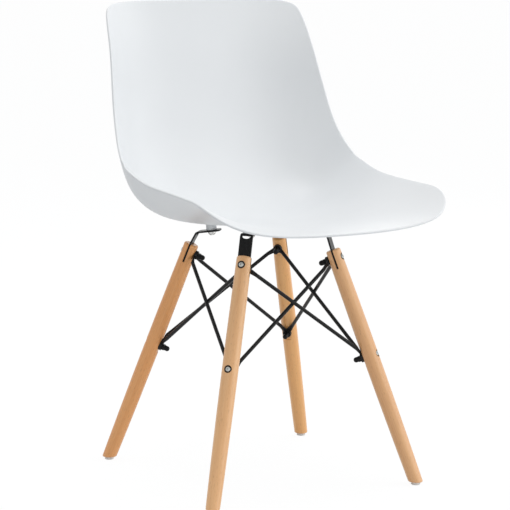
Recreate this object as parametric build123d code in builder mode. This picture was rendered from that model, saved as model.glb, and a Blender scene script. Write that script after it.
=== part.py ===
from build123d import *
import math
import os

# Dining chair: a moulded bucket shell on four splayed dowel legs.
# Each leg is slotted at the top for a bent steel bracket that carries the shell.
# Eight steel rods with flattened eyes cross between the legs. They are held by the
# through bolts that pin the brackets and by a second row of bolts lower down.
# Millimetres, front of the chair towards -Y, left is -X, floor at Z = 0.

os.makedirs("parts", exist_ok=True)

# Stance of the leg frame
BASE_SETBACK = 9.0
FOOT_X = 199.1
FOOT_Y = 198.6
TOP_X = 88.2
TOP_Y = 95.7
TOP_Z = 399.8
FRONT_TALLER = 5.4

# Legs: turned dowels, fullest a little below the middle
LEG_TOP_D = 25.4
LEG_FULL_D = 28.0
LEG_FOOT_D = 23.6
LEG_FULL_AT = 200.0
LEG_TOP_ROUND = 3.2
LEG_FOOT_CHAMFER = 1.4

# Glides under the legs
GLIDE_H = 5.0
GLIDE_D = 16.0
GLIDE_STEM_D = 5.0
GLIDE_STEM_H = 10.0
GLIDE_CHAMFER = 0.8

# Through bolts, measured down a leg from its top and out from its axis
UPPER_BOLT = 16.0
LOWER_BOLT = 194.5
BOLT_D = 6.0
BOLT_HEAD_D = 8.6
BOLT_HEAD_H = 3.2
BOLT_SOCKET_AF = 4.0
BOLT_SOCKET_H = 1.8
CUP_D = 13.0
WASHER_T = 1.0
SEAT_OUT = 9.2
SEAT_IN = 12.5
SPOT_D = 30.0
NUT_AF = 10.0
NUT_HEX_H = 5.0
NUT_H = 14.0
NUT_DOME_D = 9.4
NUT_DOME_ROUND = 4.4
NUT_BORE_H = 9.5

# Bent strip brackets, with an oval relief punched from outside just below the bend corner.
# The bend corner is given out from the leg's axis and up from its top.
STRIP_W = 22.6
STRIP_T = 3.0
STRIP_SUNK = 32.8
BEND_R = 6.0
RELIEF_W = 15.4
RELIEF_H = 9.2
RELIEF_DROP = 2.0
RELIEF_PAST = 1.0
TAB_LEN = 41.5
SCREW_AT = 25.5
FRONT_BEND = (1.8, 37.1)
REAR_BEND = (-2.6, 23.8)
FRONT_TILT = 0.0
REAR_TILT = 8.0

# Brace rods with flattened eyes
ROD_D = 6.5
EYE_D = 15.4
EYE_T = 2.5
STRAP_W = 9.0
STRAP_AT = 7.6
BEND_AT = 13.5
NECK = 9.0

# Seat screws and the inserts they turn into
SCREW_HEAD_D = 13.4
SCREW_HEAD_H = 5.6
SCREW_EDGE_H = 0.8
RECESS_W = 1.4
RECESS_ROUND = 0.6
SCREW_WASHER_D = 14.0
INSERT_D = 9.0
INSERT_H = 7.5
BOSS_D = 18.2

# Clearances
SLOT_FIT = 0.2
BOLT_FIT = 0.15
THREAD_FIT = 0.05
ROD_FIT = 0.2
END_FIT = 1.0

# Shell: wall, centre line from front lip to top edge, and sections along it
WALL = 4.0
RIM_ROUND = 1.9
CENTRE_LINE = [
    (-303, 456.4), (-281, 463.9), (-253, 465.8), (-209, 464), (-133, 457.1), (-32, 448.6), (58, 443.1),
    (124, 453.1), (175, 492.1), (213, 555.6), (237, 638.6), (253, 723.6), (272, 814.6), (279, 855.6),
]
# Share of the centre line, half width, rise of the side, fullness of the dish
SECTIONS = [
    (0.00, 231.0, 13.3, 3.0),
    (0.07, 230.7, 37.3, 3.0),
    (0.12, 230.3, 52.7, 2.8),
    (0.18, 229.0, 61.9, 2.55),
    (0.25, 227.4, 69.3, 2.5),
    (0.33, 226.5, 77.0, 2.8),
    (0.41, 226.0, 89.4, 4.05),
    (0.50, 227.0, 101.7, 5.6),
    (0.60, 227.0, 102.9, 4.55),
    (0.68, 219.3, 89.4, 3.9),
    (0.75, 213.0, 78.7, 3.7),
    (0.82, 206.8, 68.5, 3.6),
    (0.88, 200.0, 54.0, 3.5),
    (0.94, 195.5, 38.5, 3.45),
    (1.00, 191.0, 24.0, 3.4),
]
SECTION_STEPS = [0, 0.25, 0.48, 0.66, 0.82, 0.95, 1.06]
# Right half of the rim seen square to the 45 degree mould opening, top to front
OUTLINE = [
    (0, 770), (60, 769.7), (120, 765.7), (160, 755.5), (178, 746.2), (189, 735.6),
    (196.2, 713.7), (201.1, 671.7), (206.4, 622.7), (212.6, 571.6), (219.1, 515.7), (225.8, 467.7),
    (229.1, 414.9), (227.4, 360.9), (227.1, 309), (230.3, 261.6), (230.2, 221.2), (217.7, 187.2),
    (186.8, 156.8), (135, 141.3), (70, 135.6), (0, 133.9),
]

CORNERS = {
    "front_left": (-1, -1),
    "front_right": (1, -1),
    "rear_right": (1, 1),
    "rear_left": (-1, 1),
}
LEAN = math.degrees(math.atan2(math.hypot(FOOT_X - TOP_X, FOOT_Y - TOP_Y), TOP_Z - GLIDE_H))


def is_front(corner):
    return CORNERS[corner][1] < 0


def leg_frame(corner):
    """Plane at the leg's top: Z up its axis, X square to it and away from the chair."""
    side_x, side_y = CORNERS[corner]
    foot = Vector(side_x * FOOT_X, BASE_SETBACK + side_y * FOOT_Y, GLIDE_H)
    top = Vector(side_x * TOP_X, BASE_SETBACK + side_y * TOP_Y, TOP_Z)
    axis = (top - foot).normalized()
    outward = Vector(foot.X - top.X, foot.Y - top.Y, 0)
    crown = top + axis * (FRONT_TALLER if is_front(corner) else 0)
    return Plane(origin=crown, x_dir=outward - axis * outward.dot(axis), z_dir=axis)


def upright_plane(frame):
    """Plane through the leg's axis: X outward, Y up the leg."""
    return Plane(origin=frame.origin, x_dir=frame.x_dir, z_dir=-frame.y_dir)


def bolt_plane(frame, level, reach):
    """Plane square to a bolt, at a level below the leg's top and a reach from its axis."""
    origin = frame.from_local_coords(Vector(reach, 0, -level))
    return Plane(origin=origin, x_dir=frame.y_dir, z_dir=frame.x_dir)


def tab_line(corner):
    """Bend corner and tab direction of a bracket, in the leg's upright plane."""
    bend = FRONT_BEND if is_front(corner) else REAR_BEND
    tilt = math.radians(LEAN + (FRONT_TILT if is_front(corner) else REAR_TILT))
    return Vector(*bend), Vector(-math.cos(tilt), math.sin(tilt))


def tab_plane(corner):
    """Plane on the upper face of a bracket's tab at its screw, Z up."""
    upright = upright_plane(leg_frame(corner))
    bend, run = tab_line(corner)
    lift = Vector(run.Y, -run.X)
    spot = bend + run * SCREW_AT + lift * (STRIP_T / 2)
    normal = upright.from_local_coords(lift) - upright.origin
    return Plane(origin=upright.from_local_coords(spot), x_dir=upright.z_dir, z_dir=normal)


def build_leg(corner):
    frame = leg_frame(corner)
    reach = (frame.origin.Z - GLIDE_H) / frame.z_dir.Z
    foot_spot = frame.origin - frame.z_dir * reach
    length = reach + LEG_FOOT_D / 2
    with BuildPart() as leg:
        with BuildSketch(upright_plane(frame)):
            with BuildLine():
                flank = Spline(
                    (LEG_TOP_D / 2, 0), (LEG_FULL_D / 2, -LEG_FULL_AT), (LEG_FOOT_D / 2, -length),
                )
                Polyline(flank @ 1, (0, -length), (0, 0), flank @ 0)
            make_face()
        revolve(axis=Axis(frame.origin, frame.z_dir))
        fillet(leg.edges().sort_by(Axis(frame.origin, frame.z_dir))[-1], LEG_TOP_ROUND)
        split(bisect_by=Plane((0, 0, GLIDE_H)), keep=Keep.TOP)
        chamfer(leg.edges().group_by(Axis.Z)[0], LEG_FOOT_CHAMFER)
        with BuildSketch(frame):
            Rectangle(STRIP_T + 2 * SLOT_FIT, 2 * LEG_FULL_D)
        extrude(amount=-(STRIP_SUNK + END_FIT), mode=Mode.SUBTRACT)
        for level in (UPPER_BOLT, LOWER_BOLT):
            with Locations(bolt_plane(frame, level, SEAT_OUT)):
                Hole(BOLT_D / 2 + BOLT_FIT)
            with BuildSketch(bolt_plane(frame, level, SEAT_OUT)):
                Circle(CUP_D / 2 + BOLT_FIT)
            extrude(amount=LEG_FULL_D, mode=Mode.SUBTRACT)
            with BuildSketch(bolt_plane(frame, level, -SEAT_IN)):
                Circle(SPOT_D / 2)
            extrude(amount=-LEG_FULL_D, mode=Mode.SUBTRACT)
        with BuildSketch(Plane(foot_spot)):
            Circle(GLIDE_STEM_D / 2 + THREAD_FIT)
        extrude(amount=GLIDE_STEM_H + END_FIT, mode=Mode.SUBTRACT)
    return leg.part


def build_glide(corner):
    frame = leg_frame(corner)
    spot = frame.origin - frame.z_dir * ((frame.origin.Z - GLIDE_H) / frame.z_dir.Z)
    with BuildPart() as glide:
        with BuildSketch(Plane(origin=(spot.X, spot.Y, 0))):
            Circle(GLIDE_D / 2)
        extrude(amount=GLIDE_H)
        chamfer(glide.edges().group_by(Axis.Z)[0], GLIDE_CHAMFER)
        with BuildSketch(Plane(spot)):
            Circle(GLIDE_STEM_D / 2)
        extrude(amount=GLIDE_STEM_H)
        chamfer(glide.edges().group_by(Axis.Z)[-1], GLIDE_CHAMFER)
    return glide.part


def build_bracket(corner):
    frame = leg_frame(corner)
    upright = upright_plane(frame)
    bend, run = tab_line(corner)
    tip = bend + run * TAB_LEN
    with BuildPart() as bracket:
        with BuildLine(upright) as path:
            FilletPolyline(
                (0, -STRIP_SUNK), (0, LEG_TOP_ROUND), tuple(bend)[:2], tuple(tip)[:2], radius=BEND_R
            )
        with BuildSketch(Plane(origin=path.line @ 0, x_dir=upright.z_dir, z_dir=path.line % 0)):
            Rectangle(STRIP_W, STRIP_T)
        sweep(path=path.wires()[0])
        with BuildSketch(bolt_plane(frame, RELIEF_DROP - bend.Y, bend.X - STRIP_T / 2 - RELIEF_PAST)):
            Ellipse(RELIEF_W / 2, RELIEF_H / 2)
        extrude(amount=2 * BEND_R, mode=Mode.SUBTRACT)
        tab_end = bracket.faces().sort_by_distance(upright.from_local_coords(tip))[0]
        fillet(tab_end.edges().filter_by(lambda edge: edge.length < 2 * STRIP_T), STRIP_W / 4)
        foot_end = bracket.faces().sort_by_distance(path.line @ 0)[0]
        fillet(foot_end.edges().filter_by(lambda edge: edge.length < 2 * STRIP_T), STRIP_W / 8)
        with Locations(bolt_plane(frame, UPPER_BOLT, 0)):
            Hole(BOLT_D / 2 + BOLT_FIT, depth=2 * STRIP_T)
        with Locations(tab_plane(corner)):
            Hole(BOLT_D / 2 + BOLT_FIT, depth=2 * STRIP_T)
    return bracket.part


def eye_centre(corner, level, layer):
    """Middle of a rod eye: layer 0 lies on the leg, layer 1 on top of it."""
    return leg_frame(corner).from_local_coords(Vector(-SEAT_IN - EYE_T * (layer + 0.5), 0, -level))


def build_brace(upper, lower, layer):
    """Rod from the upper bolt of one leg to the lower bolt of its neighbour."""
    ends = [
        (upper, eye_centre(upper, UPPER_BOLT, layer)),
        (lower, eye_centre(lower, LOWER_BOLT, layer)),
    ]
    across = Vector(
        CORNERS[lower][0] - CORNERS[upper][0],
        CORNERS[lower][1] - CORNERS[upper][1],
        0,
    ).normalized()
    span = ends[1][1] - ends[0][1]
    facing = (span - across * span.dot(across)).cross(across).normalized()
    outward = leg_frame(upper).x_dir
    facing = facing if facing.dot(outward) > 0 else -facing
    spread = (ROD_D + ROD_FIT - EYE_T * facing.dot(outward)) / 2
    shift = facing * (spread if layer == 0 else -spread)
    bends = []
    straps = []
    for (corner, centre), sign in zip(ends, (1, -1)):
        bolt = leg_frame(corner).x_dir
        run = (span - bolt * span.dot(bolt)).normalized() * sign
        straps.append(Plane(origin=centre + run * STRAP_AT, x_dir=bolt.cross(run), z_dir=run))
        bends.append(centre + run * BEND_AT + shift)
    line = (bends[1] - bends[0]).normalized()
    necks = [
        Plane(origin=bends[0] + line * NECK, x_dir=straps[0].x_dir, z_dir=line),
        Plane(origin=bends[1] - line * NECK, x_dir=straps[1].x_dir, z_dir=-line),
    ]
    with BuildPart() as brace:
        with BuildSketch(necks[0]):
            Circle(ROD_D / 2)
        extrude(amount=(necks[1].origin - necks[0].origin).length)
        for (corner, centre), strap, neck in zip(ends, straps, necks):
            with BuildSketch(strap):
                Ellipse(STRAP_W / 2, EYE_T / 2)
            with BuildSketch(neck):
                Circle(ROD_D / 2)
            loft()
            eye = Plane(origin=centre, x_dir=strap.z_dir, z_dir=leg_frame(corner).x_dir)
            with BuildSketch(eye):
                Circle(EYE_D / 2)
                with Locations((STRAP_AT / 2, 0)):
                    Rectangle(STRAP_AT, STRAP_W)
            extrude(amount=EYE_T / 2, both=True)
        for corner, centre in ends:
            with Locations(Plane(origin=centre, z_dir=leg_frame(corner).x_dir)):
                Hole(BOLT_D / 2 + BOLT_FIT, depth=EYE_T * 2)
    return brace.part


def build_bolt(corner, level):
    seat = bolt_plane(leg_frame(corner), level, SEAT_OUT + WASHER_T)
    up = Axis(seat.origin, seat.z_dir)
    shank = SEAT_OUT + WASHER_T + SEAT_IN + 2 * EYE_T + NUT_BORE_H - END_FIT
    with BuildPart() as bolt:
        with BuildSketch(seat):
            Circle(BOLT_HEAD_D / 2)
        extrude(amount=BOLT_HEAD_H)
        fillet(bolt.edges().sort_by(up)[-1], BOLT_HEAD_H / 2)
        with BuildSketch(seat):
            Circle(BOLT_D / 2)
        extrude(amount=-shank)
        chamfer(bolt.edges().sort_by(up)[0], BOLT_D / 8)
        with BuildSketch(seat.offset(BOLT_HEAD_H)):
            RegularPolygon(BOLT_SOCKET_AF / 2, 6, major_radius=False)
        extrude(amount=-BOLT_SOCKET_H, mode=Mode.SUBTRACT)
    return bolt.part


def build_bolt_washer(corner, level):
    with BuildPart() as washer:
        with BuildSketch(bolt_plane(leg_frame(corner), level, SEAT_OUT)):
            Circle(CUP_D / 2)
            Circle(BOLT_D / 2 + BOLT_FIT, mode=Mode.SUBTRACT)
        extrude(amount=WASHER_T)
    return washer.part


def build_cap_nut(corner, level):
    frame = leg_frame(corner)
    seat = Plane(
        origin=bolt_plane(frame, level, -SEAT_IN - 2 * EYE_T).origin, x_dir=frame.y_dir, z_dir=-frame.x_dir
    )
    with BuildPart() as nut:
        with BuildSketch(seat):
            Circle(NUT_DOME_D / 2)
        extrude(amount=NUT_H)
        fillet(nut.edges().sort_by(Axis(seat.origin, seat.z_dir))[-1], NUT_DOME_ROUND)
        with BuildSketch(seat):
            RegularPolygon(NUT_AF / 2, 6, major_radius=False)
        extrude(amount=NUT_HEX_H)
        with BuildSketch(seat):
            Circle(BOLT_D / 2 + THREAD_FIT)
        extrude(amount=NUT_BORE_H, mode=Mode.SUBTRACT)
    return nut.part


def build_seat_screw(corner):
    seat = tab_plane(corner).offset(-STRIP_T - WASHER_T)
    up = Axis(seat.origin, seat.z_dir)
    with BuildPart() as screw:
        with BuildSketch(seat):
            Circle(SCREW_HEAD_D / 2)
        extrude(amount=-SCREW_HEAD_H)
        fillet(screw.edges().sort_by(up)[0], SCREW_HEAD_H - SCREW_EDGE_H)
        with BuildSketch(seat.offset(-SCREW_HEAD_H)):
            RectangleRounded(SCREW_HEAD_D / 2, RECESS_W, RECESS_ROUND)
            RectangleRounded(RECESS_W, SCREW_HEAD_D / 2, RECESS_ROUND)
        extrude(amount=SCREW_HEAD_H / 2, mode=Mode.SUBTRACT)
        with BuildSketch(seat):
            Circle(BOLT_D / 2)
        extrude(amount=WASHER_T + STRIP_T + INSERT_H - END_FIT)
        chamfer(screw.edges().sort_by(up)[-1], BOLT_D / 8)
    return screw.part


def build_seat_washer(corner):
    with BuildPart() as washer:
        with BuildSketch(tab_plane(corner).offset(-STRIP_T)):
            Circle(SCREW_WASHER_D / 2)
            Circle(BOLT_D / 2 + BOLT_FIT, mode=Mode.SUBTRACT)
        extrude(amount=-WASHER_T)
    return washer.part


def build_insert(corner):
    with BuildPart() as insert:
        with BuildSketch(tab_plane(corner)):
            Circle(INSERT_D / 2)
            Circle(BOLT_D / 2 + THREAD_FIT, mode=Mode.SUBTRACT)
        extrude(amount=INSERT_H)
    return insert.part


def section_wire(path, share, half_width, rise, fullness):
    """Dish-shaped cross section of the shell, square to its centre line."""
    steps = [-step for step in SECTION_STEPS[:0:-1]] + SECTION_STEPS
    with BuildLine(Plane(origin=path @ share, x_dir=(1, 0, 0), z_dir=-(path % share))) as section:
        Spline(*[(step * half_width, rise * abs(step) ** fullness) for step in steps])
    return section.wire()


def build_shell():
    with BuildLine(Plane.YZ) as centre:
        Spline(*CENTRE_LINE)
    surface = Shell.make_loft([section_wire(centre.line, *section) for section in SECTIONS]).faces()[0]
    with BuildPart() as opening:
        with BuildSketch(Plane(origin=(0, 0, 0), x_dir=(1, 0, 0), z_dir=(0, -1, 1))):
            with BuildLine():
                Spline(*OUTLINE, *[(-x, v) for x, v in OUTLINE[-2:0:-1]], periodic=True)
            make_face()
        extrude(amount=2 * TOP_Z, both=True)
    trimmed = surface.intersect(opening.part).faces()[0]
    with BuildPart() as shell:
        thicken(trimmed, amount=-WALL)
        skins = shell.faces().sort_by(SortBy.AREA)[-2:]
        fillet(skins[0].edges() + skins[1].edges(), RIM_ROUND)
        for corner in CORNERS:
            mount = tab_plane(corner)
            with BuildSketch(mount):
                Circle(BOSS_D / 2)
            under = min(
                (hit - mount.origin).dot(mount.z_dir)
                for hit, _ in shell.part.find_intersection_points(Axis(mount.origin, mount.z_dir))
            )
            extrude(amount=under + WALL / 2)
        for corner in CORNERS:
            with BuildSketch(tab_plane(corner)):
                Circle(INSERT_D / 2 + THREAD_FIT)
            extrude(amount=INSERT_H + END_FIT, mode=Mode.SUBTRACT)
    return shell.part


def export(part, name):
    part.label = name
    export_step(part, f"parts/{name}.step")


def export_group(parts, name):
    with BuildPart() as group:
        for part in parts:
            add(part)
    export(group.part, name)


export(build_shell(), "seat_shell")
for corner in CORNERS:
    export(build_leg(corner), f"leg_{corner}")
    export(build_glide(corner), f"glide_{corner}")
    export(build_bracket(corner), f"bracket_{corner}")

ring = list(CORNERS)
for first, second in zip(ring, ring[1:] + ring[:1]):
    export(build_brace(first, second, 0), f"brace_{first}_to_{second}")
    export(build_brace(second, first, 1), f"brace_{second}_to_{first}")

for level, name in ((UPPER_BOLT, "upper"), (LOWER_BOLT, "lower")):
    places = [(corner, level) for corner in CORNERS]
    export_group([build_bolt(*place) for place in places], f"{name}_leg_bolts")
    export_group([build_bolt_washer(*place) for place in places], f"{name}_bolt_washers")
    export_group([build_cap_nut(*place) for place in places], f"{name}_cap_nuts")
export_group([build_insert(corner) for corner in CORNERS], "seat_inserts")
export_group([build_seat_screw(corner) for corner in CORNERS], "seat_screws")
export_group([build_seat_washer(corner) for corner in CORNERS], "seat_screw_washers")
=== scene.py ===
"""Looks of a dining chair: white moulded bucket shell on a splayed beech dowel base."""
import logging
import math
from dataclasses import dataclass, field
from enum import Enum
from typing import Any, Sequence

import bmesh
import bpy
import numpy as np
from mathutils import Matrix, Vector
from mathutils.bvhtree import BVHTree


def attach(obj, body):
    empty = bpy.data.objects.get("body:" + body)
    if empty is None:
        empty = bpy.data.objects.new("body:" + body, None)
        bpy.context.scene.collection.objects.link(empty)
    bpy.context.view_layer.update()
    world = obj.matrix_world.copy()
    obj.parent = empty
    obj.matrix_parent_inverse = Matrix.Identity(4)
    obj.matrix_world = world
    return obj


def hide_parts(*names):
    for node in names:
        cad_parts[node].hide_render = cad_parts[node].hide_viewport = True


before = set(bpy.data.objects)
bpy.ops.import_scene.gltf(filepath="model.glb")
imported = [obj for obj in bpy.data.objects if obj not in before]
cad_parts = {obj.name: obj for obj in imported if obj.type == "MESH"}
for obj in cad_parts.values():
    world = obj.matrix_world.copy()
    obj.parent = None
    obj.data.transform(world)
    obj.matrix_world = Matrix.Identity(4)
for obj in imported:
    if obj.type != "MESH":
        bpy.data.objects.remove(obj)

log = logging.getLogger("chair")
MM = 0.001
Colour = tuple[float, float, float]


class Corner(Enum):
    """The four corners of the base, with the sides of X and Y they stand on."""

    FRONT_LEFT = (-1, -1)
    FRONT_RIGHT = (1, -1)
    REAR_RIGHT = (1, 1)
    REAR_LEFT = (-1, 1)

    @property
    def label(self) -> str:
        """Name of the corner as the nodes carry it."""
        return self.name.lower()

    @property
    def is_front(self) -> bool:
        """True for the two legs under the seat's front edge."""
        return self.value[1] < 0


class Cubic:
    """Smooth curve through points, by parameter."""

    def __init__(self, at: Sequence[float], values: np.ndarray, closed: bool = False) -> None:
        """Solve the slopes of the curve.

        Args:
            at: Rising parameter values, one per point.
            values: Points, one row each.
            closed: True where the last point meets the first with the same slope.
        """
        self.t = np.asarray(at, float)
        self.p = np.asarray(values, float).reshape(len(self.t), -1)
        n, h = len(self.t), np.diff(self.t)
        chord = np.diff(self.p, axis=0) / h[:, None]
        a, b = np.zeros((n, n)), np.zeros_like(self.p)
        for i in range(1, n - 1):
            a[i, i - 1 : i + 2] = h[i], 2 * (h[i - 1] + h[i]), h[i - 1]
            b[i] = 3 * (h[i] * chord[i - 1] + h[i - 1] * chord[i])
        if closed:
            a[0, 0], a[0, -1] = 1, -1
            a[-1, 0], a[-1, 1], a[-1, -2] = 2 * (h[-1] + h[0]), h[-1], h[0]
            b[-1] = 3 * (h[0] * chord[-1] + h[-1] * chord[0])
        else:
            a[0, :2] = 2, 1
            a[-1, -2:] = 1, 2
            b[0], b[-1] = 3 * chord[0], 3 * chord[-1]
        self.m = np.linalg.solve(a, b)

    def __call__(self, t: np.ndarray) -> np.ndarray:
        """Points at parameters.

        Args:
            t: Parameters, one per wanted point.

        Returns:
            One row per parameter.
        """
        i = np.clip(np.searchsorted(self.t, t) - 1, 0, len(self.t) - 2)
        h = (self.t[i + 1] - self.t[i])[:, None]
        u = ((t - self.t[i])[:, None]) / h
        return (
            (1 + 2 * u) * (1 - u) ** 2 * self.p[i]
            + u * (1 - u) ** 2 * h * self.m[i]
            + u**2 * (3 - 2 * u) * self.p[i + 1]
            + u**2 * (u - 1) * h * self.m[i + 1]
        )


@dataclass(frozen=True)
class Stance:
    """Where the legs and bracket tabs stand, in metres."""

    setback: float = 0.009
    foot_x: float = 0.1991
    foot_y: float = 0.1986
    top_x: float = 0.0882
    top_y: float = 0.0957
    top_z: float = 0.3998
    front_taller: float = 0.0054
    glide_h: float = 0.005
    front_bend: tuple[float, float] = (0.0018, 0.0371)
    rear_bend: tuple[float, float] = (-0.0026, 0.0238)
    rear_tilt: float = 8.0
    screw_at: float = 0.0255
    strip_t: float = 0.003

    def leg(self, corner: Corner) -> Matrix:
        """Frame at a leg's top: Z up its axis, X square to it and outward.

        Args:
            corner: The leg.

        Returns:
            Matrix from the leg's own frame to the chair's.
        """
        sx, sy = corner.value
        foot = Vector((sx * self.foot_x, self.setback + sy * self.foot_y, self.glide_h))
        top = Vector((sx * self.top_x, self.setback + sy * self.top_y, self.top_z))
        axis = (top - foot).normalized()
        out = Vector((foot.x - top.x, foot.y - top.y, 0))
        out = (out - axis * out.dot(axis)).normalized()
        turn = Matrix((out, axis.cross(out), axis)).transposed()
        crown = top + axis * (self.front_taller if corner.is_front else 0)
        return Matrix.Translation(crown) @ turn.to_4x4()

    def tab(self, corner: Corner) -> tuple[Vector, Vector]:
        """Upper face of a bracket's tab at its screw.

        Args:
            corner: The leg that the bracket stands in.

        Returns:
            Point on the face and the face's normal.
        """
        lean = math.atan2(
            math.hypot(self.foot_x - self.top_x, self.foot_y - self.top_y), self.top_z - self.glide_h
        )
        tilt = lean + (0 if corner.is_front else math.radians(self.rear_tilt))
        bend = self.front_bend if corner.is_front else self.rear_bend
        run, lift = Vector((-math.cos(tilt), 0, math.sin(tilt))), Vector((math.sin(tilt), 0, math.cos(tilt)))
        spot = Vector((bend[0], 0, bend[1])) + run * self.screw_at + lift * (self.strip_t / 2)
        leg = self.leg(corner)
        return leg @ spot, (leg.to_3x3() @ lift).normalized()


class Graph:
    """Adds and links nodes in one node tree."""

    def __init__(self, tree: bpy.types.NodeTree) -> None:
        """Take the tree to work in."""
        self.tree = tree
        self.step = 0

    def add(self, kind: str, settings: dict[str, Any] | None = None, **values: Any) -> bpy.types.Node:
        """Add a node, set its properties and feed its inputs.

        Args:
            kind: Node type name without the ShaderNode prefix.
            settings: Properties of the node.
            **values: Inputs by name, spaces as underscores, or iN for input N; sockets are linked.

        Returns:
            The node.
        """
        made = self.tree.nodes.new(kind if kind.startswith("Node") else "ShaderNode" + kind)
        made.location = (self.step * 180 - 2400, -(self.step % 5) * 160)
        self.step += 1
        for name, value in (settings or {}).items():
            setattr(made, name, value)
        for name, value in values.items():
            index = int(name[1:]) if name[0] == "i" and name[1:].isdigit() else None
            socket = made.inputs[index] if index is not None else made.inputs[name.replace("_", " ")]
            if isinstance(value, bpy.types.NodeSocket):
                self.tree.links.new(value, socket)
            else:
                socket.default_value = value
        return made

    def math(self, what: str, *terms: Any, clamp: bool = False) -> bpy.types.NodeSocket:
        """One arithmetic step on values.

        Args:
            what: Operation name.
            *terms: Sockets or numbers.
            clamp: True keeps the result between 0 and 1.

        Returns:
            The result's socket.
        """
        inputs = {f"i{i}": term for i, term in enumerate(terms)}
        return self.add("Math", {"operation": what, "use_clamp": clamp}, **inputs).outputs[0]

    def spread(
        self, value: Any, low: float, high: float, to_low: Any = 0, to_high: Any = 1
    ) -> bpy.types.NodeSocket:
        """Remap a value from one range to another, clamped.

        Args:
            value: Socket to read.
            low: Start of the range read.
            high: End of the range read.
            to_low: Result at the start, a number or a socket.
            to_high: Result at the end, a number or a socket.

        Returns:
            The result's socket.
        """
        return self.add("MapRange", None, i0=value, i1=low, i2=high, i3=to_low, i4=to_high).outputs[0]

    def mix(self, share: Any, first: Any, second: Any) -> bpy.types.NodeSocket:
        """Mix two colours.

        Args:
            share: Socket or number, how much of the second.
            first: Socket or colour.
            second: Socket or colour.

        Returns:
            The colour's socket.
        """
        made = self.add("Mix", {"data_type": "RGBA"})
        for index, value in ((0, share), (6, first), (7, second)):
            if isinstance(value, bpy.types.NodeSocket):
                self.tree.links.new(value, made.inputs[index])
            else:
                made.inputs[index].default_value = value if index == 0 else (*value, 1)
        return made.outputs[2]

    def noise(self, where: Any, scale: float, detail: float = 2, rough: float = 0.5) -> bpy.types.NodeSocket:
        """Smooth noise between 0 and 1.

        Args:
            where: Socket with the place.
            scale: How many features per metre.
            detail: Layers of finer noise.
            rough: Strength of the finer layers.

        Returns:
            The value's socket.
        """
        return self.add("TexNoise", None, Vector=where, Scale=scale, Detail=detail, Roughness=rough).outputs[0]

    def seen(self) -> bpy.types.NodeSocket:
        """1 for rays from the camera, reflections and see-through surfaces, 0 for rays that carry light."""
        ray = self.add("LightPath")
        direct = self.math("MAXIMUM", ray.outputs["Is Camera Ray"], ray.outputs["Is Glossy Ray"])
        return self.math("MAXIMUM", direct, ray.outputs["Is Transmission Ray"])

    def stretch(self, where: Any, scale: Colour) -> bpy.types.NodeSocket:
        """Scale a place along its axes.

        Args:
            where: Socket with the place.
            scale: Factor per axis.

        Returns:
            The scaled place's socket.
        """
        return self.add("Mapping", None, Vector=where, Scale=scale).outputs[0]


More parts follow.
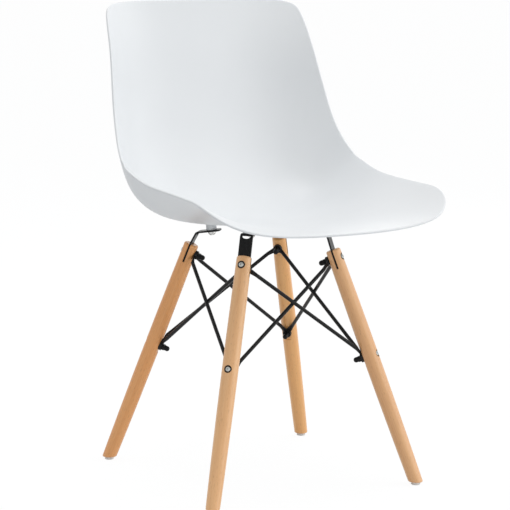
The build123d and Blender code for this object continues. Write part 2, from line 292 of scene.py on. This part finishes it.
class Effects:
    """Shader node groups that several finishes share."""

    @staticmethod
    def group(name: str, inputs: dict[str, tuple[str, Any]], outputs: dict[str, str]) -> tuple[Graph, Any, Any]:
        """Start a group.

        Args:
            name: Name of the group.
            inputs: Socket kind and default by name.
            outputs: Socket kind by name.

        Returns:
            The graph to fill, the group's input node and its output node.
        """
        tree = bpy.data.node_groups.new(name, "ShaderNodeTree")
        for key, (kind, default) in inputs.items():
            socket = tree.interface.new_socket(name=key, in_out="INPUT", socket_type="NodeSocket" + kind)
            if default is not None:
                socket.default_value = default
        for key, kind in outputs.items():
            tree.interface.new_socket(name=key, in_out="OUTPUT", socket_type="NodeSocket" + kind)
        graph = Graph(tree)
        return graph, graph.add("NodeGroupInput"), graph.add("NodeGroupOutput")

    @classmethod
    def place(cls, graph: Graph, name: str, **values: Any) -> bpy.types.Node:
        """Place a group in a material, building it at its first use.

        Args:
            graph: The material's graph.
            name: Name of the effect.
            **values: Inputs of the group.

        Returns:
            The group node.
        """
        tree = bpy.data.node_groups.get(name) or getattr(cls, name)()
        return graph.add("Group", {"node_tree": tree}, **values)

    @classmethod
    def edge_wear(cls) -> bpy.types.NodeTree:
        """Mask of worn edges, broken up by noise."""
        g, i, o = cls.group(
            "edge_wear",
            {"Place": ("Vector", None), "Width": ("Float", 0.0006), "Amount": ("Float", 0.5)},
            {"Mask": "Float"},
        )
        soft = g.add("Bevel", {"samples": 4}, Radius=i.outputs["Width"]).outputs[0]
        true = g.add("NewGeometry").outputs["Normal"]
        same = g.add("VectorMath", {"operation": "DOT_PRODUCT"}, i0=soft, i1=true).outputs["Value"]
        bare = g.spread(same, 0.995, 0.86)
        broken = g.spread(g.noise(i.outputs["Place"], 420, 3, 0.6), 0.42, 0.68)
        mask = g.math("MULTIPLY", g.math("MULTIPLY", bare, broken), i.outputs["Amount"], clamp=True)
        g.tree.links.new(mask, o.inputs["Mask"])
        return g.tree

    @classmethod
    def handling(cls) -> bpy.types.NodeTree:
        """Broad dull and shiny patches left by hands and dust."""
        g, i, o = cls.group(
            "handling",
            {"Place": ("Vector", None), "Scale": ("Float", 9.0), "Low": ("Float", 0.35), "High": ("Float", 0.5)},
            {"Roughness": "Float", "Patch": "Float"},
        )
        broad = g.add("TexNoise", None, Vector=i.outputs["Place"], Scale=i.outputs["Scale"], Detail=4.0).outputs[0]
        patch = g.spread(broad, 0.32, 0.68)
        fine = g.noise(i.outputs["Place"], 260, 2)
        blend = g.math("ADD", g.math("MULTIPLY", patch, 0.75), g.math("MULTIPLY", fine, 0.25))
        rough = g.spread(blend, 0.0, 1.0, i.outputs["Low"], i.outputs["High"])
        g.tree.links.new(rough, o.inputs["Roughness"])
        g.tree.links.new(patch, o.inputs["Patch"])
        return g.tree

    @classmethod
    def grime_and_shade(cls) -> bpy.types.NodeTree:
        """Mask of dirt and painted shade in slots, bores and sockets, strongest where ambient occlusion finds them
        enclosed.
        """
        g, i, o = cls.group(
            "grime_and_shade",
            {"Place": ("Vector", None), "Reach": ("Float", 0.004), "Amount": ("Float", 0.8)},
            {"Mask": "Float"},
        )
        open_share = g.add("AmbientOcclusion", {"samples": 8}, Distance=i.outputs["Reach"]).outputs["AO"]
        deep = g.spread(open_share, 0.62, 0.18)
        broken = g.spread(g.noise(i.outputs["Place"], 300, 3, 0.6), 0.2, 0.6, 0.7, 1.0)
        mask = g.math("MULTIPLY", g.math("MULTIPLY", deep, broken), i.outputs["Amount"], clamp=True)
        g.tree.links.new(mask, o.inputs["Mask"])
        return g.tree

    @classmethod
    def beech_grain(cls) -> bpy.types.NodeTree:
        """Solid beech: growth rings, long fibres and short dark rays along Z."""
        g, i, o = cls.group(
            "beech_grain",
            {
                "Place": ("Vector", None),
                "Pith": ("Vector", None),
                "Pale": ("Color", None),
                "Tan": ("Color", None),
                "Dark": ("Color", (0.33, 0.155, 0.06, 1)),
            },
            {"Color": "Color", "Roughness": "Float", "Height": "Float"},
        )
        place = g.add("VectorMath", {"operation": "ADD"}, i0=i.outputs["Place"], i1=i.outputs["Pith"]).outputs[0]
        sway = g.noise(g.stretch(place, (1, 1, 0.12)), 22, 2)
        flat = g.add("VectorMath", {"operation": "LENGTH"}, i0=g.stretch(place, (1, 1, 0))).outputs["Value"]
        ring = g.math("ADD", g.math("MULTIPLY", flat, 310), g.math("MULTIPLY", sway, 5.5))
        late = g.math("POWER", g.math("FRACT", ring), 2.2)
        bands = g.noise(g.stretch(place, (1, 1, 0.03)), 120, 3, 0.55)
        fibre = g.noise(g.stretch(place, (1, 1, 0.02)), 900, 2, 0.6)
        rays = g.spread(g.noise(g.stretch(place, (1, 1, 0.11)), 1050, 1, 0.5), 0.63, 0.74)
        tone = g.math("ADD", g.math("MULTIPLY", late, 0.28), g.math("MULTIPLY", g.spread(bands, 0.34, 0.66), 0.54))
        tone = g.math("ADD", tone, g.math("MULTIPLY", g.spread(fibre, 0.3, 0.7), 0.18), clamp=True)
        wood = g.mix(tone, i.outputs["Pale"], i.outputs["Tan"])
        wood = g.mix(g.math("MULTIPLY", rays, 0.3), wood, i.outputs["Dark"])
        g.tree.links.new(wood, o.inputs["Color"])
        g.tree.links.new(g.spread(tone, 0, 1, 0.36, 0.50), o.inputs["Roughness"])
        height = g.math("SUBTRACT", g.math("MULTIPLY", fibre, 0.5), g.math("MULTIPLY", rays, 0.8))
        g.tree.links.new(height, o.inputs["Height"])
        return g.tree


def new_material(name: str) -> tuple[bpy.types.Material, Graph, bpy.types.Node, bpy.types.NodeSocket]:
    """Start a material with a Principled shader.

    Args:
        name: Name of the material.

    Returns:
        The material, its graph, the shader and the socket with the place on the piece.
    """
    material = bpy.data.materials.new(name)
    material.use_nodes = True
    material.node_tree.nodes.clear()
    graph = Graph(material.node_tree)
    shader = graph.add("BsdfPrincipled")
    out = graph.add("OutputMaterial")
    graph.tree.links.new(shader.outputs[0], out.inputs["Surface"])
    return material, graph, shader, graph.add("TexCoord").outputs["Object"]


def bump(graph: Graph, shader: bpy.types.Node, height: Any, distance: float, strength: float = 1.0) -> None:
    """Feed a height to the shader's normal.

    Args:
        graph: The material's graph.
        shader: The Principled shader.
        height: Socket with the height, 0 to 1.
        distance: Depth of the relief in metres.
        strength: Share of it that shows.
    """
    made = graph.add("Bump", None, Height=height, Distance=distance, Strength=strength)
    graph.tree.links.new(made.outputs[0], shader.inputs["Normal"])


@dataclass(frozen=True)
class MouldedPlastic:
    """Moulded plastic with a fine satin skin."""

    name: str
    colour: Colour
    shade: Colour
    low: float = 0.36
    high: float = 0.46
    grain: float = 1600.0
    relief: float = 0.00003

    def material(self) -> bpy.types.Material:
        """Build the finish."""
        material, g, shader, place = new_material(self.name)
        touch = Effects.place(g, "handling", Place=place, Scale=7.0, Low=self.low, High=self.high)
        worn = Effects.place(g, "edge_wear", Place=place, Width=0.0012, Amount=0.35)
        tint = g.math("MULTIPLY", touch.outputs["Patch"], 0.5)
        colour = g.mix(tint, self.colour, self.shade)
        rub = tuple(min(1.0, c * 1.04) for c in self.colour)
        colour = g.mix(worn.outputs["Mask"], colour, rub)
        g.tree.links.new(colour, shader.inputs["Base Color"])
        g.tree.links.new(touch.outputs["Roughness"], shader.inputs["Roughness"])
        shader.inputs["IOR"].default_value = 1.49
        skin = g.add("TexVoronoi", {"feature": "SMOOTH_F1"}, Vector=place, Scale=self.grain).outputs[0]
        bump(g, shader, skin, self.relief, 0.5)
        return material


@dataclass(frozen=True)
class Stick:
    """One leg's piece of beech: where its pith lies and its two tones."""

    pith: Colour
    pale: Colour
    tan: Colour


@dataclass(frozen=True)
class Beech:
    """Lacquered beech, with the grain along one leg."""

    name: str
    leg: Matrix
    stick: Stick

    def material(self) -> bpy.types.Material:
        """Build the finish."""
        material, g, shader, place = new_material(self.name)
        local = g.add(
            "Mapping",
            {"vector_type": "TEXTURE"},
            Vector=place,
            Location=self.leg.translation,
            Rotation=self.leg.to_euler(),
        ).outputs[0]
        stick = self.stick
        wood = Effects.place(
            g, "beech_grain", Place=local, Pith=stick.pith, Pale=(*stick.pale, 1), Tan=(*stick.tan, 1)
        )
        worn = Effects.place(g, "edge_wear", Place=local, Width=0.0016, Amount=0.7)
        # Dirt and painted shade: slots, bores and counterbores turn dark brown where ambient occlusion finds them
        # enclosed.
        dirt_and_shade = Effects.place(g, "grime_and_shade", Place=local, Reach=0.005, Amount=0.85)
        colour = g.mix(worn.outputs["Mask"], wood.outputs["Color"], (0.36, 0.19, 0.085))
        colour = g.mix(dirt_and_shade.outputs["Mask"], colour, (0.07, 0.035, 0.015))
        g.tree.links.new(colour, shader.inputs["Base Color"])
        g.tree.links.new(wood.outputs["Roughness"], shader.inputs["Roughness"])
        shader.inputs["Coat Weight"].default_value = 0.3
        shader.inputs["Coat Roughness"].default_value = 0.2
        bump(g, shader, wood.outputs["Height"], 0.00006, 0.7)
        return material


@dataclass(frozen=True)
class CoatedSteel:
    """Steel under a black coat, rubbed at its edges."""

    name: str
    colour: Colour
    bare: Colour
    low: float
    high: float
    relief: float = 0.00004
    wear: float = 0.5
    gloss: float = 0.14

    def material(self) -> bpy.types.Material:
        """Build the finish."""
        material, g, shader, place = new_material(self.name)
        touch = Effects.place(g, "handling", Place=place, Scale=30.0, Low=self.low, High=self.high)
        worn = Effects.place(g, "edge_wear", Place=place, Width=0.0007, Amount=self.wear)
        light = tuple(c * 1.6 for c in self.colour)
        colour = g.mix(touch.outputs["Patch"], self.colour, light)
        colour = g.mix(worn.outputs["Mask"], colour, self.bare)
        g.tree.links.new(colour, shader.inputs["Base Color"])
        g.tree.links.new(touch.outputs["Roughness"], shader.inputs["Roughness"])
        g.tree.links.new(g.math("MULTIPLY", worn.outputs["Mask"], 0.6), shader.inputs["Metallic"])
        shader.inputs["Specular IOR Level"].default_value = self.gloss
        peel = g.noise(place, 1400, 3, 0.6)
        bump(g, shader, peel, self.relief, 0.6)
        return material


@dataclass(frozen=True)
class PlatedSteel:
    """Bright plated or turned metal with fine turning marks."""

    name: str
    colour: Colour
    dull: Colour
    low: float = 0.20
    high: float = 0.38
    reach: float = 0.002

    def material(self) -> bpy.types.Material:
        """Build the finish."""
        material, g, shader, place = new_material(self.name)
        touch = Effects.place(g, "handling", Place=place, Scale=120.0, Low=self.low, High=self.high)
        worn = Effects.place(g, "edge_wear", Place=place, Width=0.0005, Amount=0.6)
        colour = g.mix(touch.outputs["Patch"], self.colour, self.dull)
        # Dirt and painted shade: sockets and recesses turn near black where ambient occlusion finds them enclosed.
        dirt_and_shade = Effects.place(g, "grime_and_shade", Place=place, Reach=self.reach, Amount=0.9)
        colour = g.mix(worn.outputs["Mask"], colour, tuple(min(1.0, c * 1.2) for c in self.colour))
        colour = g.mix(dirt_and_shade.outputs["Mask"], colour, (0.04, 0.04, 0.04))
        g.tree.links.new(colour, shader.inputs["Base Color"])
        g.tree.links.new(touch.outputs["Roughness"], shader.inputs["Roughness"])
        shader.inputs["Metallic"].default_value = 1.0
        marks = g.noise(g.stretch(place, (1, 1, 6)), 1500, 2)
        bump(g, shader, marks, 0.00003, 0.4)
        return material


def dress_node(name: str, material: bpy.types.Material) -> None:
    """Give a CAD node its finish.

    Args:
        name: The node.
        material: The finish.
    """
    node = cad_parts[name]
    node.data.materials.clear()
    node.data.materials.append(material)
    log.info("dressed %s with %s", name, material.name)


@dataclass
class SeatShell:
    """One-piece seat and back, sizes in millimetres as the mould has them."""

    stance: Stance
    wall: float = 4.0
    boss_d: float = 18.2
    boss_round: float = 0.6
    boss_flare: float = 2.2
    boss_neck: float = 1.8
    boss_sunk: float = 0.3
    boss_sides: int = 40
    insert_d: float = 9.1
    pocket: float = 8.5
    rings: int = 64
    around: int = 352
    lip_steps: int = 11
    slit: tuple[float, float] = (340, 580)
    slit_share: float = 0.02
    crowding: float = 0.92
    view_span: tuple[float, float] = (110, 804)
    centre_line: tuple = (
        (-303, 456.4), (-281, 463.9), (-253, 465.8), (-209, 464), (-133, 457.1), (-32, 448.6), (58, 443.1),
        (124, 453.1), (175, 492.1), (213, 555.6), (237, 638.6), (253, 723.6), (272, 814.6), (279, 855.6),
    )
    sections: tuple = (
        (0.00, 231.0, 13.3, 3.0), (0.07, 230.7, 37.3, 3.0), (0.12, 230.3, 52.7, 2.8),
        (0.18, 229.0, 61.9, 2.55), (0.25, 227.4, 69.3, 2.5), (0.33, 226.5, 77.0, 2.8),
        (0.41, 226.0, 89.4, 4.05), (0.50, 227.0, 101.7, 5.6), (0.60, 227.0, 102.9, 4.55),
        (0.68, 219.3, 89.4, 3.9), (0.75, 213.0, 78.7, 3.7), (0.82, 206.8, 68.5, 3.6),
        (0.88, 200.0, 54.0, 3.5), (0.94, 195.5, 38.5, 3.45), (1.00, 191.0, 24.0, 3.4),
    )
    outline: tuple = (
        (0, 770), (60, 769.7), (120, 765.7), (160, 755.5), (178, 746.2), (189, 735.6),
        (196.2, 713.7), (201.1, 671.7), (206.4, 622.7), (212.6, 571.6), (219.1, 515.7), (225.8, 467.7),
        (229.1, 414.9), (227.4, 360.9), (227.1, 309), (230.3, 261.6), (230.2, 221.2), (217.7, 187.2),
        (186.8, 157.3), (135, 142.2), (70, 136.6), (0, 134.9),
    )
    piece: bpy.types.Object | None = field(default=None, init=False)

    def __post_init__(self) -> None:
        """Prepare the centre line and the section sizes along it."""
        line = np.array(self.centre_line, float)
        spans = np.hypot(*np.diff(line, axis=0).T)
        self.spine = Cubic(np.r_[0, np.cumsum(spans)], line)
        dense = np.linspace(0, spans.sum(), 4000)
        points = self.spine(dense)
        length = np.r_[0, np.cumsum(np.hypot(*np.diff(points, axis=0).T))]
        self.by_share = (length / length[-1], dense)
        table = np.array(self.sections, float)
        self.sizes = Cubic(table[:, 0], table[:, 1:])

    def surface(self, share: np.ndarray, x: np.ndarray) -> np.ndarray:
        """Points on the sitting side.

        Args:
            share: Share of the centre line, one per point.
            x: Distance from the middle, one per point.

        Returns:
            Points in millimetres, one row each.
        """
        t = np.interp(share, *self.by_share)
        step = 0.5
        middle = self.spine(t)
        run = self.spine(t + step) - self.spine(t - step)
        run /= np.linalg.norm(run, axis=1)[:, None]
        size = self.sizes(share)
        rise = size[:, 1] * np.maximum(np.abs(x) / size[:, 0], 1e-9) ** size[:, 2]
        return np.stack([x, middle[:, 0] - run[:, 1] * rise, middle[:, 1] + run[:, 0] * rise], -1)

    def lift(self, flat: np.ndarray) -> tuple[np.ndarray, np.ndarray]:
        """Raise points of the flat 45 degree view onto the sitting side.

        Args:
            flat: Rows of distance from the middle and distance along the view.

        Returns:
            Points in millimetres and unit normals towards the sitter.
        """
        x, v = flat[:, 0], flat[:, 1]
        first, last = self.view_span
        share, eps = np.clip((v - first) / (last - first), 0.01, 0.99), 1e-3

        def along(s: np.ndarray) -> np.ndarray:
            """Distance along the view of the surface at these shares."""
            p = self.surface(s, x)
            return (p[:, 1] + p[:, 2]) / math.sqrt(2)

        for _ in range(40):
            slope = (along(share + eps) - along(share - eps)) / (2 * eps)
            share = np.clip(share + np.clip((v - along(share)) / slope, -0.05, 0.05), 0.002, 0.998)
        ds = self.surface(share + eps, x) - self.surface(share - eps, x)
        dx = self.surface(share, x + 0.05) - self.surface(share, x - 0.05)
        normal = np.cross(dx, ds)
        normal /= np.linalg.norm(normal, axis=1)[:, None]
        return self.surface(share, x), normal

    def rim(self) -> np.ndarray:
        """Evenly spaced points of the rim outline in the flat view."""
        half = np.array(self.outline, float)
        loop = np.vstack([half, (half * (-1, 1))[-2:0:-1], half[:1]])
        curve = Cubic(np.r_[0, np.cumsum(np.hypot(*np.diff(loop, axis=0).T))], loop, closed=True)
        dense = np.linspace(0, curve.t[-1], 6001)
        points = curve(dense)
        length = np.r_[0, np.cumsum(np.hypot(*np.diff(points, axis=0).T))]
        return curve(np.interp(np.arange(self.around) / self.around * length[-1], length, dense))

    def build(self) -> bpy.types.Object:
        """Mesh the shell as two smooth skins with a rounded rim and four bosses.

        Returns:
            The shell piece.
        """
        rim = self.rim()
        core = np.stack([rim[:, 0] * self.slit_share, np.clip(rim[:, 1], *self.slit)], -1)
        shares = np.linspace(0, 1, self.rings + 1) ** self.crowding
        flat = np.concatenate([core + (rim - core) * k for k in shares])
        point, normal = self.lift(flat)
        n, m = self.around, len(shares)
        point, normal = point.reshape(m, n, 3), normal.reshape(m, n, 3)
        edge = np.roll(point[-1], -1, 0) - np.roll(point[-1], 1, 0)
        out = np.cross(edge, normal[-1])
        out /= np.linalg.norm(out, axis=1)[:, None]
        out *= np.sign((out * (point[-1] - point[-3])).sum(1))[:, None]
        half = self.wall / 2
        under = point - normal * self.wall
        heart = point[-1] - out * half - normal[-1] * half
        turns = np.linspace(0, math.pi, self.lip_steps)
        lip = [heart + half * (out * math.sin(a) + normal[-1] * math.cos(a)) for a in turns]
        loops = [*point[:-1], *lip, *under[:-1][::-1]]
        mesh = bmesh.new()
        rows = [[mesh.verts.new(Vector(p) * MM) for p in loop] for loop in loops]
        for low, high in zip(rows, rows[1:]):
            for k in range(n):
                mesh.faces.new((low[k], low[(k + 1) % n], high[(k + 1) % n], high[k]))
        for loop in (rows[0], rows[-1][::-1]):
            self.close(mesh, loop)
        bmesh.ops.recalc_face_normals(mesh, faces=mesh.faces)
        tree = BVHTree.FromBMesh(mesh)
        for corner in Corner:
            self.boss(mesh, tree, corner)
        data = bpy.data.meshes.new("shell_skin")
        mesh.to_mesh(data)
        mesh.free()
        data.shade_smooth()
        data.set_sharp_from_angle(angle=math.radians(50))
        self.piece = bpy.data.objects.new("shell_skin", data)
        bpy.context.scene.collection.objects.link(self.piece)
        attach(self.piece, "root")
        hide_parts("seat_shell")
        log.info("built shell_skin: %d faces", len(data.polygons))
        return self.piece

    @staticmethod
    def close(mesh: bmesh.types.BMesh, loop: list) -> None:
        """Close the narrow slit at the heart of a skin with quads across it.

        Args:
            mesh: The mesh.
            loop: Vertices round the slit.
        """
        n = len(loop)
        for k in range(n // 2):
            four = (loop[k], loop[k + 1], loop[n - k - 1], loop[(n - k) % n])
            unique = list(dict.fromkeys(four))
            if len(unique) > 2:
                mesh.faces.new(unique)

    def boss(self, mesh: bmesh.types.BMesh, tree: BVHTree, corner: Corner) -> None:
        """Add one round boss from the shell's underside to a bracket tab.

        Args:
            mesh: The shell's mesh.
            tree: Search tree of the skins.
            corner: The bracket under the boss.
        """
        foot, up = self.stance.tab(corner)
        side = up.orthogonal().normalized()
        across = up.cross(side)
        outer, bore, soft = self.boss_d / 2 * MM, self.insert_d / 2 * MM, self.boss_round * MM
        profile = [
            (bore, self.pocket * MM), (bore, 0.0), (outer - soft, 0.0),
            (outer - 0.3 * soft, 0.3 * soft), (outer, soft),
            (outer, None), (outer + self.boss_flare * MM, None),
        ]
        n, rows = self.boss_sides, []
        for radius, height in profile:
            row = []
            for k in range(n):
                angle = 2 * math.pi * k / n
                spoke = side * math.cos(angle) + across * math.sin(angle)
                spot = foot + spoke * radius
                if height is None:
                    hit = tree.ray_cast(spot, up)[0]
                    spot = hit + up * (self.boss_sunk if radius > outer else -self.boss_neck) * MM
                else:
                    spot = spot + up * height
                row.append(mesh.verts.new(spot))
            rows.append(row)
        mesh.faces.new(rows[0][::-1])
        for low, high in zip(rows, rows[1:]):
            for k in range(n):
                mesh.faces.new((low[k], low[(k + 1) % n], high[(k + 1) % n], high[k]))

    def dress(self) -> None:
        """Give the shell its satin white skin."""
        white = MouldedPlastic("shell_white", (0.818, 0.838, 0.853), (0.788, 0.808, 0.828))
        self.piece.data.materials.append(white.material())


@dataclass
class LegSet:
    """Turned legs and the glides under them."""

    stance: Stance
    sticks: tuple[Stick, ...] = (
        Stick((0.045, 0.018, 0.0), (0.985, 0.585, 0.283), (0.86, 0.455, 0.2)),
        Stick((-0.03, 0.04, 0.31), (0.91, 0.523, 0.25), (0.78, 0.403, 0.177)),
        Stick((0.02, -0.05, 0.67), (0.985, 0.537, 0.208), (0.86, 0.414, 0.138)),
        Stick((-0.048, -0.02, 1.1), (0.945, 0.469, 0.178), (0.82, 0.35, 0.108)),
    )

    def dress(self) -> None:
        """Give each leg its own stick of beech and each glide its plastic."""
        glide = MouldedPlastic("glide_grey", (0.86, 0.855, 0.84), (0.80, 0.79, 0.775), 0.4, 0.55).material()
        for corner, stick in zip(Corner, self.sticks):
            wood = Beech(f"beech_{corner.label}", self.stance.leg(corner), stick)
            dress_node(f"leg_{corner.label}", wood.material())
            dress_node(f"glide_{corner.label}", glide)


@dataclass
class Ironwork:
    """Brackets, brace rods and all fasteners."""

    def dress(self) -> None:
        """Give the black and bright metal its finishes."""
        coat = CoatedSteel("black_coat", (0.007, 0.007, 0.0072), (0.09, 0.09, 0.09), 0.22, 0.34).material()
        rod_coat = CoatedSteel("rod_coat", (0.013, 0.013, 0.0133), (0.09, 0.09, 0.09), 0.2, 0.32).material()
        oxide = CoatedSteel("black_oxide", (0.007, 0.007, 0.0075), (0.1, 0.1, 0.1), 0.24, 0.38).material()
        phosphate = CoatedSteel("dark_phosphate", (0.05, 0.048, 0.045), (0.2, 0.2, 0.19), 0.4, 0.6).material()
        zinc = PlatedSteel("zinc_plate", (0.66, 0.67, 0.67), (0.52, 0.52, 0.5)).material()
        dull = PlatedSteel("dull_zinc", (0.58, 0.60, 0.58), (0.44, 0.455, 0.435), 0.26, 0.42, 0.003).material()
        brass = PlatedSteel("turned_brass", (0.72, 0.52, 0.22), (0.55, 0.38, 0.15)).material()
        for name in sorted(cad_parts):
            if name.startswith("bracket_"):
                dress_node(name, coat)
            elif name.startswith("brace_"):
                dress_node(name, rod_coat)
            elif name.endswith("cap_nuts"):
                dress_node(name, oxide)
            elif name.endswith("bolt_washers"):
                dress_node(name, phosphate)
            elif name.endswith("bolts"):
                dress_node(name, dull)
            elif name.startswith("seat_screw"):
                dress_node(name, zinc)
            elif name == "seat_inserts":
                dress_node(name, brass)


@dataclass
class Studio:
    """Floor, soft light and the camera of the picture."""

    azimuth: float = -29.19
    elevation: float = 9.07
    roll: float = 0.62
    focal_px: float = 2323.5
    centre_px: tuple[float, float] = (262.2, 238.9)
    image_px: float = 510.0
    aim: Colour = (0.0, 0.009, 0.4157)
    distance: float = 4.04
    floor_reach: float = 30.0
    floor_glow: float = 1.06
    floor_white: float = 0.88
    sky_light: float = 0.56
    lamp_side: float = 1.8
    lamps: tuple = (
        ("right_high", (2.6, -1.2, 2.4), 17.4),
        ("overhead", (0.0, 0.0, 3.2), 27.7),
        ("right_rear", (2.2, 2.0, 1.8), 6.6),
        ("right_low", (2.9, -0.9, 0.6), 8.4),
        ("right_front_low", (2.0, -2.5, 0.5), 18.6),
    )

    def build(self) -> None:
        """Set up everything round the chair."""
        scene = bpy.context.scene
        scene.view_settings.view_transform = "Standard"
        self.floor()
        self.world()
        for lamp in self.lamps:
            self.lamp(*lamp)
        self.camera()

    def floor(self) -> None:
        """Pale floor that shows as white and keeps a soft shadow."""
        data = bpy.data.meshes.new("studio_floor")
        reach = self.floor_reach
        corners = [(-reach, -reach, 0), (reach, -reach, 0), (reach, reach, 0), (-reach, reach, 0)]
        data.from_pydata(corners, [], [(0, 1, 2, 3)])
        floor = bpy.data.objects.new("studio_floor", data)
        bpy.context.scene.collection.objects.link(floor)
        material, g, shader, place = new_material("pale_floor")
        shader.inputs["Roughness"].default_value = 0.9
        tone = g.mix(g.noise(place, 3.0, 3), (0.71, 0.735, 0.755), (0.73, 0.755, 0.775))
        g.tree.links.new(tone, shader.inputs["Base Color"])
        glow = g.add("Emission", None, Color=(1, 1, 1, 1), Strength=self.floor_glow)
        share = g.math("MULTIPLY", g.seen(), self.floor_white)
        both = g.add("MixShader", None, i0=share, i1=shader.outputs[0], i2=glow.outputs[0])
        out = next(n for n in g.tree.nodes if n.type == "OUTPUT_MATERIAL")
        g.tree.links.new(both.outputs[0], out.inputs["Surface"])
        data.materials.append(material)

    def world(self) -> None:
        """White surroundings, dimmer as light than as a background."""
        world = bpy.data.worlds.new("studio")
        bpy.context.scene.world = world
        world.use_nodes = True
        world.node_tree.nodes.clear()
        g = Graph(world.node_tree)
        level = g.spread(g.seen(), 0, 1, self.sky_light, 1.0)
        sky = g.add("Background", None, Color=(1, 1, 1, 1), Strength=level)
        out = g.add("OutputWorld")
        g.tree.links.new(sky.outputs[0], out.inputs["Surface"])

    def lamp(self, name: str, place: Colour, power: float) -> None:
        """One soft square lamp aimed at the chair.

        Args:
            name: Name of the lamp.
            place: Where it hangs, in metres.
            power: Its power in watts.
        """
        data = bpy.data.lights.new(name, "AREA")
        data.shape, data.size, data.energy = "SQUARE", self.lamp_side, power
        lamp = bpy.data.objects.new(name, data)
        lamp.location = place
        lamp.rotation_euler = (Vector((0, 0, 0.5)) - Vector(place)).to_track_quat("-Z", "Y").to_euler()
        bpy.context.scene.collection.objects.link(lamp)

    def camera(self) -> None:
        """Camera where the picture was taken from."""
        a, e, r = (math.radians(v) for v in (self.azimuth, self.elevation, self.roll))
        back = Vector((math.sin(a) * math.cos(e), -math.cos(a) * math.cos(e), math.sin(e)))
        right = Vector((math.cos(a), math.sin(a), 0))
        up = back.cross(right)
        tilted = right * math.cos(r) + up * math.sin(r), up * math.cos(r) - right * math.sin(r)
        turn = Matrix((*tilted, back)).transposed()
        data = bpy.data.cameras.new("picture")
        data.sensor_width = 36.0
        data.lens = self.focal_px / self.image_px * data.sensor_width
        data.shift_x = (self.image_px / 2 - self.centre_px[0]) / self.image_px
        data.shift_y = (self.centre_px[1] - self.image_px / 2) / self.image_px
        camera = bpy.data.objects.new("picture", data)
        camera.matrix_world = Matrix.Translation(Vector(self.aim) + back * self.distance) @ turn.to_4x4()
        bpy.context.scene.collection.objects.link(camera)
        bpy.context.scene.camera = camera


def main() -> None:
    """Build and dress the chair, then set up the studio."""
    logging.basicConfig(level=logging.INFO, format="%(name)s: %(message)s")
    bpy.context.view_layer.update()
    stance = Stance()
    shell = SeatShell(stance)
    shell.build()
    shell.dress()
    LegSet(stance).dress()
    Ironwork().dress()
    Studio().build()


if __name__ == "__main__":
    main()
